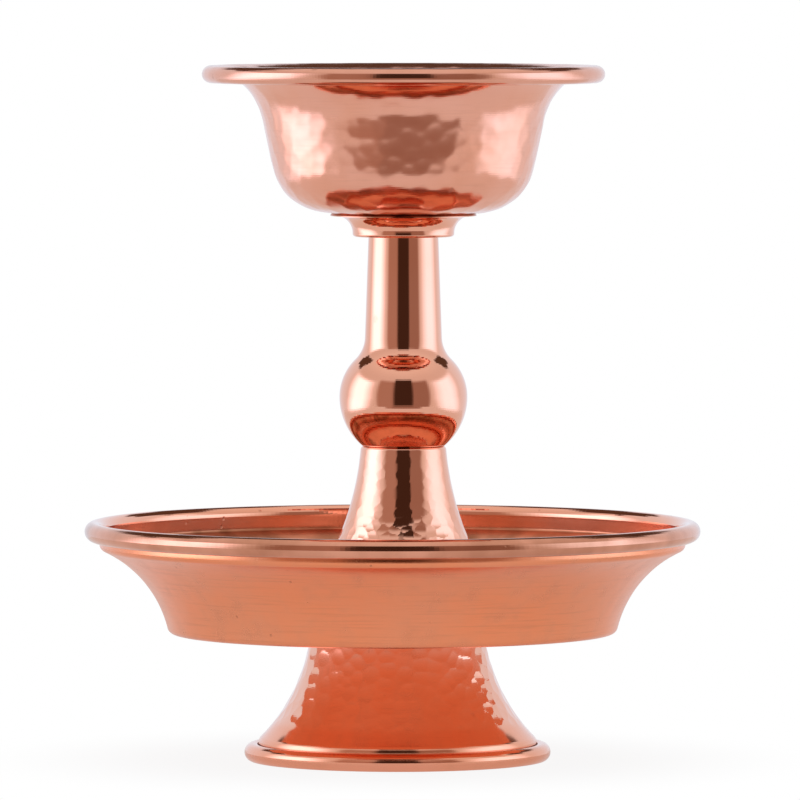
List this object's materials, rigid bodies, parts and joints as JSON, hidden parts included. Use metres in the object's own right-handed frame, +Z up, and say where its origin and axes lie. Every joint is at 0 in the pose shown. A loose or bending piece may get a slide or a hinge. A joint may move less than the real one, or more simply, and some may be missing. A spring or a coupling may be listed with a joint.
{
  "type": "libation offering bowl set",
  "caption": "Copper offering set: a hammered goblet with a knopped stem stands loose in a wide flared dish on a trumpet foot, and lifts out of it.",
  "frame": {"origin": "on the table, under the middle of the dish", "axes": "+Z up, +X to the right in the picture, -Y towards its camera"},
  "size_m": [0.1356, 0.1356, 0.153],
  "materials": {
    "satin_copper": "satin spun copper",
    "hammered_copper": "hammered and polished copper",
    "polished_copper": "mirror polished copper",
    "copper_wire": "drawn copper wire",
    "tie_brass": "turned brass"
  },
  "bodies": {
    "dish": {"dish_shell": "satin_copper", "dish_rim_wire": "copper_wire", "foot_shell": "hammered_copper", "foot_rim_wire": "copper_wire"},
    "goblet": {"cup_shell": "hammered_copper", "cup_rim_wire": "copper_wire", "cup_collar": "polished_copper", "cup_stud": "tie_brass", "stem_tube": "polished_copper", "stem_bush": "tie_brass", "goblet_base": "hammered_copper", "goblet_base_wire": "copper_wire", "check_plate": "tie_brass", "stud_washer": "tie_brass", "stud_nut": "tie_brass"}
  },
  "joints": [
    {"name": "goblet_lift", "type": "slide", "parent": "dish", "child": "goblet", "axis": [0, 0, 1], "range_m": [0, 0.06]}
  ]
}
